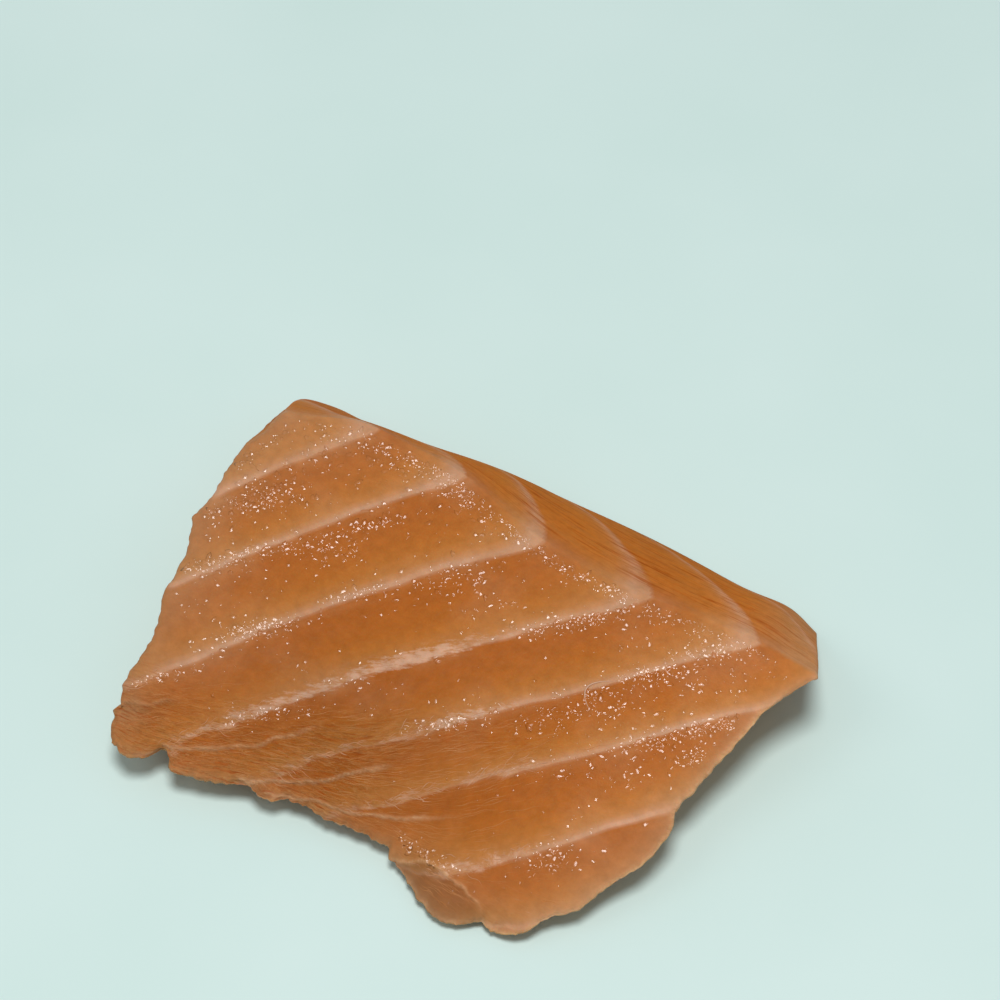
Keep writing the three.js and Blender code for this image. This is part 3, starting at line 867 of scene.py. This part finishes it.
def noise(tree, vector, scale, detail=3.0, rough=0.5, lean=0.0):
    made = addNode(tree, "ShaderNodeTexNoise", {
        "Vector": vector, "Scale": scale, "Detail": detail, "Roughness": rough,
        "Distortion": lean,
    })
    return made.outputs["Fac"]


fibreLook = dict(
    layers=[dict(along=0.30, across=2.6, width=0.03, share=0.65),
            dict(along=0.60, across=5.5, width=0.045, share=0.45)],
    waves=(3.0, 0.55, 0.7), up=0.4, gapBelow=0.48, gapSteep=2.0,
)


def fibreGroup():
    # fine strands along the grain: thin where a long noise passes its middle value, with gaps
    # where the finest one is low
    group = bpy.data.node_groups.new("fleshFibres", "ShaderNodeTree")
    for name, kind, way in (
        ("Grain", "NodeSocketVector", "INPUT"), ("Strand", "NodeSocketFloat", "OUTPUT"),
        ("Gap", "NodeSocketFloat", "OUTPUT"), ("Height", "NodeSocketFloat", "OUTPUT"),
    ):
        group.interface.new_socket(name=name, in_out=way, socket_type=kind)
    start = group.nodes.new("NodeGroupInput")
    end = group.nodes.new("NodeGroupOutput")

    def layer(along, across, width):
        stretched = addNode(group, "ShaderNodeMapping", {
            "Vector": start.outputs["Grain"], "Scale": (along, across, fibreLook["up"]),
        }, vector_type="POINT").outputs[0]
        wave = noise(group, stretched, 1.0, *fibreLook["waves"])
        offset = calc(group, "ABSOLUTE", calc(group, "SUBTRACT", wave, 0.5))
        return calc(group, "SUBTRACT", 1.0, calc(group, "DIVIDE", offset, width)), wave

    strands = []
    for size in fibreLook["layers"]:
        strand, wave = layer(size["along"], size["across"], size["width"])
        strands.append(times(group, calc(group, "MAXIMUM", strand, 0.0), size["share"]))
    strand = calc(group, "MAXIMUM", *strands)
    gap = times(group, calc(group, "SUBTRACT", fibreLook["gapBelow"], wave), fibreLook["gapSteep"])
    group.links.new(strand, end.inputs["Strand"])
    group.links.new(calc(group, "MAXIMUM", gap, 0.0), end.inputs["Gap"])
    group.links.new(calc(group, "ADD", strand, wave), end.inputs["Height"])
    return group


fleshFibres = fibreGroup()


def newMaterial(name):
    material = bpy.data.materials.new(name)
    material.use_nodes = True
    tree = material.node_tree
    shader = tree.nodes["Principled BSDF"]
    return material, tree, shader


fleshLook = dict(
    deep=(0.39, 0.100, 0.007), mid=(0.42, 0.118, 0.010), light=(0.46, 0.165, 0.026),
    fat=(0.56, 0.295, 0.175), back=(0.54, 0.155, 0.018), thin=(0.405, 0.225, 0.11),
    film=(0.64, 0.37, 0.24), paintedSheen=(0.60, 0.33, 0.18), paintedSheenShare=0.16,
    strand=(0.53, 0.24, 0.085), strandDeep=(0.43, 0.15, 0.025), backStrand=(0.44, 0.15, 0.03),
    gap=(0.345, 0.062, 0.002), gapShare=2.3, backGapShare=2.6, fold=(0.66, 0.36, 0.185),
    bodyStops=(0.0, 0.25, 0.55, 0.9), patchScale=210.0, mottleScale=900.0, grainScale=1600.0,
    fatStops=[(0.0, 0.75), (0.02, 0.35), (0.05, 0.0), (0.72, 0.0), (0.86, 0.12), (0.93, 0.5),
              (0.965, 0.95), (1.0, 0.9)],
    filmStops=[(0.38, 0.0), (0.62, 0.35), (0.95, 0.8)], mottleStops=[(0.3, 0.85), (0.7, 1.05)],
    backShare=0.75, thinShare=0.7, patches=(1.1, 0.35), fatOnBack=-0.3, fatOnTorn=-0.45,
    tatterScale=(0.9, 2.8, 1.0), tatterNoise=(6.0, 0.7), tatters=(3.6, -1.8), filmSteep=3.0,
    fatLoss=0.15, frayed=(1.1, 1.05), frayedRange=(0.1, 1.3), mottleNoise=(5.0, 0.65),
    soft=0.2, softReach=(1.0, 0.35, 0.15), softScale=0.0012,
    grainShare=0.08, strandShare=0.042, rough=0.45, tornRough=0.10, backRough=0.5, shine=0.06,
    beadRough=0.15, beadShine=0.32, strandRough=0.4, strandShine=0.15,
    strandScale=420.0, strandDetail=2.0, strandStops=(0.35, 0.65),
)


def fleshMaterial(name, beaded=False):
    look = fleshLook
    material, tree, shader = newMaterial(name)
    place = addNode(tree, "ShaderNodeTexCoord").outputs["Object"]
    grain = named(tree, "grain", "Vector")
    torn = named(tree, "torn")
    thin, back = named(tree, "thin"), named(tree, "backFace")
    number = named(tree, "sheet")
    part = calc(tree, "FRACT", number)

    # flesh deep below each sheet and lighter towards the next
    fleshColours = (look["deep"], look["deep"], look["mid"], look["light"])
    body = ramp(tree, part, list(zip(look["bodyStops"], fleshColours)))
    colour = blendColours(tree, times(tree, back, look["backShare"]), body, look["back"])
    colour = blendColours(tree, times(tree, thin, look["thinShare"]), colour, look["thin"])

    # the fat lines are patchy, weaker on the back and on torn flesh, and tattered along the grain
    fat = greyRamp(tree, part, look["fatStops"])
    patches = calc(tree, "MULTIPLY_ADD", noise(tree, place, look["patchScale"]), *look["patches"])
    fatShare = calc(tree, "MINIMUM", times(tree, fat, patches), 1.0)
    for share, less in ((back, look["fatOnBack"]), (torn, look["fatOnTorn"])):
        fatShare = times(tree, fatShare, calc(tree, "MULTIPLY_ADD", share, less, 1.0))
    streaked = addNode(tree, "ShaderNodeMapping", {
        "Vector": grain, "Scale": look["tatterScale"],
    }, vector_type="POINT").outputs[0]
    tatters = noise(tree, streaked, 1.0, *look["tatterNoise"])
    tatters = calc(tree, "MULTIPLY_ADD", tatters, *look["tatters"])
    filmNear = calc(tree, "MINIMUM", times(tree, named(tree, "film"), look["filmSteep"]), 1.0)
    broken = times(tree, filmNear, calc(tree, "SUBTRACT", tatters, look["fatLoss"]))
    fatShare = times(tree, fatShare, calc(tree, "ADD", broken, 1.0))
    fatShare = calc(tree, "MAXIMUM", calc(tree, "MINIMUM", fatShare, 1.0), 0.0)
    colour = blendColours(tree, fatShare, colour, look["fat"])
    # painted sheen: the flesh is paler where it is wet, standing in for the fine glints of its wet
    # surface
    paintedSheen = times(tree, named(tree, "wetAndSheen"), look["paintedSheenShare"])
    colour = blendColours(tree, paintedSheen, colour, look["paintedSheen"])

    # pale hair-like strands and dark gaps between the fibres of the torn part and the back
    strands = addNode(tree, "ShaderNodeGroup", {"Grain": grain}, node_tree=fleshFibres)
    fibrous = named(tree, "stranded")
    backGrain = named(tree, "backGrain", "Vector")
    backStrands = addNode(tree, "ShaderNodeGroup", {"Grain": backGrain}, node_tree=fleshFibres)
    for fibres, share, strandColour, gapShare in (
        (strands, fibrous, look["strand"], look["gapShare"]),
        (backStrands, back, look["backStrand"], look["backGapShare"]),
    ):
        gaps = times(tree, fibres.outputs["Gap"], share, gapShare)
        colour = blendColours(tree, gaps, colour, look["gap"])
        hairs = times(tree, fibres.outputs["Strand"], share)
        colour = blendColours(tree, hairs, colour, strandColour)

    # the film, then the frayed pale edges of the folds and the painted highlight on the right edge
    # and the flap's edge
    ragged = calc(tree, "ADD", tatters, named(tree, "film"))
    film = times(tree, greyRamp(tree, ragged, look["filmStops"]), filmNear)
    colour = blendColours(tree, film, colour, look["film"])
    least, most = look["frayedRange"]
    frayed = calc(tree, "MULTIPLY_ADD", tatters, *look["frayed"])
    frayed = calc(tree, "MAXIMUM", calc(tree, "MINIMUM", frayed, most), least)
    frayed = times(tree, named(tree, "foldPaleAndEdgeHighlight"), frayed)
    colour = blendColours(tree, frayed, colour, look["fold"])

    # a fine mottle, and the tone of each place, which holds the painted shade in front of the
    # folds
    mottle = noise(tree, place, look["mottleScale"], *look["mottleNoise"])
    tint = greyRamp(tree, mottle, look["mottleStops"])
    colour = blendColours(tree, 1.0, colour, tint, "MULTIPLY")
    colour = blendColours(tree, 1.0, colour, named(tree, "tone", "Color"), "MULTIPLY")
    tree.links.new(colour, shader.inputs["Base Color"])
    if beaded:
        shader.inputs["Roughness"].default_value = look["beadRough"]
        shader.inputs["Specular IOR Level"].default_value = look["beadShine"]
        return material

    shader.inputs["Subsurface Weight"].default_value = look["soft"]
    shader.inputs["Subsurface Radius"].default_value = look["softReach"]
    shader.inputs["Subsurface Scale"].default_value = look["softScale"]
    pores = times(tree, noise(tree, place, look["grainScale"]), look["grainShare"])
    ridges = times(tree, strands.outputs["Height"], fibrous, look["strandShare"])
    bumps = addNode(tree, "ShaderNodeBump", {
        "Height": calc(tree, "ADD", pores, ridges), "Distance": mm, "Strength": 1.0,
    })
    tree.links.new(bumps.outputs[0], shader.inputs["Normal"])
    rough = calc(tree, "MULTIPLY_ADD", torn, look["tornRough"], look["rough"])
    rough = calc(tree, "MULTIPLY_ADD", back, look["backRough"], rough)
    tree.links.new(rough, shader.inputs["Roughness"])
    shader.inputs["Specular IOR Level"].default_value = look["shine"]
    return material


def strandMaterial():
    # strands, some paler than others, a little glossy; the wisps are the palest
    look = fleshLook
    material, tree, shader = newMaterial("paleStrand")
    place = addNode(tree, "ShaderNodeTexCoord").outputs["Object"]
    tones = noise(tree, place, look["strandScale"], look["strandDetail"])
    stops = zip(look["strandStops"], (look["strandDeep"], look["strand"]))
    tones = ramp(tree, tones, list(stops))
    tones = blendColours(tree, named(tree, "pale"), tones, look["film"])
    tree.links.new(tones, shader.inputs["Base Color"])
    shader.inputs["Roughness"].default_value = look["strandRough"]
    shader.inputs["Specular IOR Level"].default_value = look["strandShine"]
    return material


for piece, material in (
    (sliceFlesh, fleshMaterial("wetSalmonFlesh")),
    (beads, fleshMaterial("moistureOnFlesh", beaded=True)),
    (fibresTorn, strandMaterial()),
):
    piece.data.materials.append(material)
    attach(piece, "root")
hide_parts("salmon_slice")
print("flesh finished")


# a plain pale floor
floorLook = dict(colour=(0.67, 0.825, 0.79), shade=(0.635, 0.80, 0.76), size=3.0, cells=24,
                 below=0.00002, cloudScale=30.0, rough=0.45)


def floorPoints():
    # a flat square on a grid
    s = np.linspace(-0.5, 0.5, floorLook["cells"] + 1) * floorLook["size"]
    gx, gy = np.meshgrid(s, s, indexing="ij")
    return np.stack([gx, gy, 0 * gx - floorLook["below"]], -1)


floorGrid = floorPoints()
floorIndex = np.arange(floorGrid[..., 0].size).reshape(floorGrid.shape[:2])
floorFaces = np.stack([
    floorIndex[:-1, :-1].ravel(), floorIndex[1:, :-1].ravel(),
    floorIndex[1:, 1:].ravel(), floorIndex[:-1, 1:].ravel(),
], 1)
floor = buildMesh("floor", floorGrid.reshape(-1, 3), floorFaces.tolist())
floorMaterial, tree, shader = newMaterial("paleGlaze")
place = addNode(tree, "ShaderNodeTexCoord").outputs["Object"]
floorStops = [(0.3, floorLook["shade"]), (0.7, floorLook["colour"])]
floorTint = ramp(tree, noise(tree, place, floorLook["cloudScale"]), floorStops)
tree.links.new(floorTint, shader.inputs["Base Color"])
shader.inputs["Roughness"].default_value = floorLook["rough"]
floor.data.materials.append(floorMaterial)


# one bright round lamp overhead, a softer one in front on the left and a pale room
lightLook = dict(
    sky=(0.92, 0.98, 1.0), skyPower=0.28,
    soft=dict(aim=(-0.50, -0.45, 0.74), away=0.9, size=0.5, power=0.7, colour=(1.0, 0.99, 0.97)),
    glint=dict(aim=(0.08, -0.12, 0.99), away=0.7, size=0.24, power=3.3, colour=(1.0, 1.0, 1.0)),
)
world = bpy.data.worlds.new("softRoom")
bpy.context.scene.world = world
world.use_nodes = True
background = world.node_tree.nodes["Background"]
background.inputs["Color"].default_value = (*lightLook["sky"], 1)
background.inputs["Strength"].default_value = lightLook["skyPower"]
for name in ("soft", "glint"):
    look = lightLook[name]
    lamp = bpy.data.lights.new(name + "Lamp", "AREA")
    lamp.shape = "DISK"
    lamp.size = look["size"]
    lamp.energy = look["power"]
    lamp.color = look["colour"]
    holder = bpy.data.objects.new(name + "Lamp", lamp)
    aim = Vector(look["aim"]).normalized()
    holder.location = aim * look["away"]
    holder.rotation_euler = aim.to_track_quat("Z", "Y").to_euler()
    bpy.context.scene.collection.objects.link(holder)

# the camera looks down on the slice; the point above the slice's own origin falls left of
# and below the middle of the picture, and the camera is turned rather than shifted
cameraLook = dict(azimuth=32.7, elevation=55.0, away=300.0, above=4.0, focalPixels=3300.0,
                  point=(463, 667), picture=1000, sensor=36.0)
azimuth, elevation = (math.radians(cameraLook[key]) for key in ("azimuth", "elevation"))
back = Vector((math.sin(azimuth) * math.cos(elevation),
               -math.cos(azimuth) * math.cos(elevation), math.sin(elevation)))
right = (-back).cross(Vector((0, 0, 1))).normalized()
up = right.cross(-back)
half = cameraLook["picture"] / 2
aim = (-back + right * ((half - cameraLook["point"][0]) / cameraLook["focalPixels"])
       + up * ((cameraLook["point"][1] - half) / cameraLook["focalPixels"])).normalized()
turned = (-back).rotation_difference(aim).to_matrix() @ Matrix((right, up, back)).transposed()
cameraData = bpy.data.cameras.new("camera")
cameraData.sensor_width = cameraLook["sensor"]
cameraData.lens = cameraLook["sensor"] * cameraLook["focalPixels"] / cameraLook["picture"]
cameraData.clip_start = 0.01
camera = bpy.data.objects.new("camera", cameraData)
camera.rotation_mode = "QUATERNION"
camera.rotation_quaternion = turned.to_quaternion()
start = Vector((0, 0, cameraLook["above"])) - Vector(middle) + back * cameraLook["away"]
camera.location = start * mm
bpy.context.scene.collection.objects.link(camera)
bpy.context.scene.camera = camera
bpy.context.scene.view_settings.view_transform = "Standard"
print("floor, lights and camera set")

bpy.context.view_layer.update()
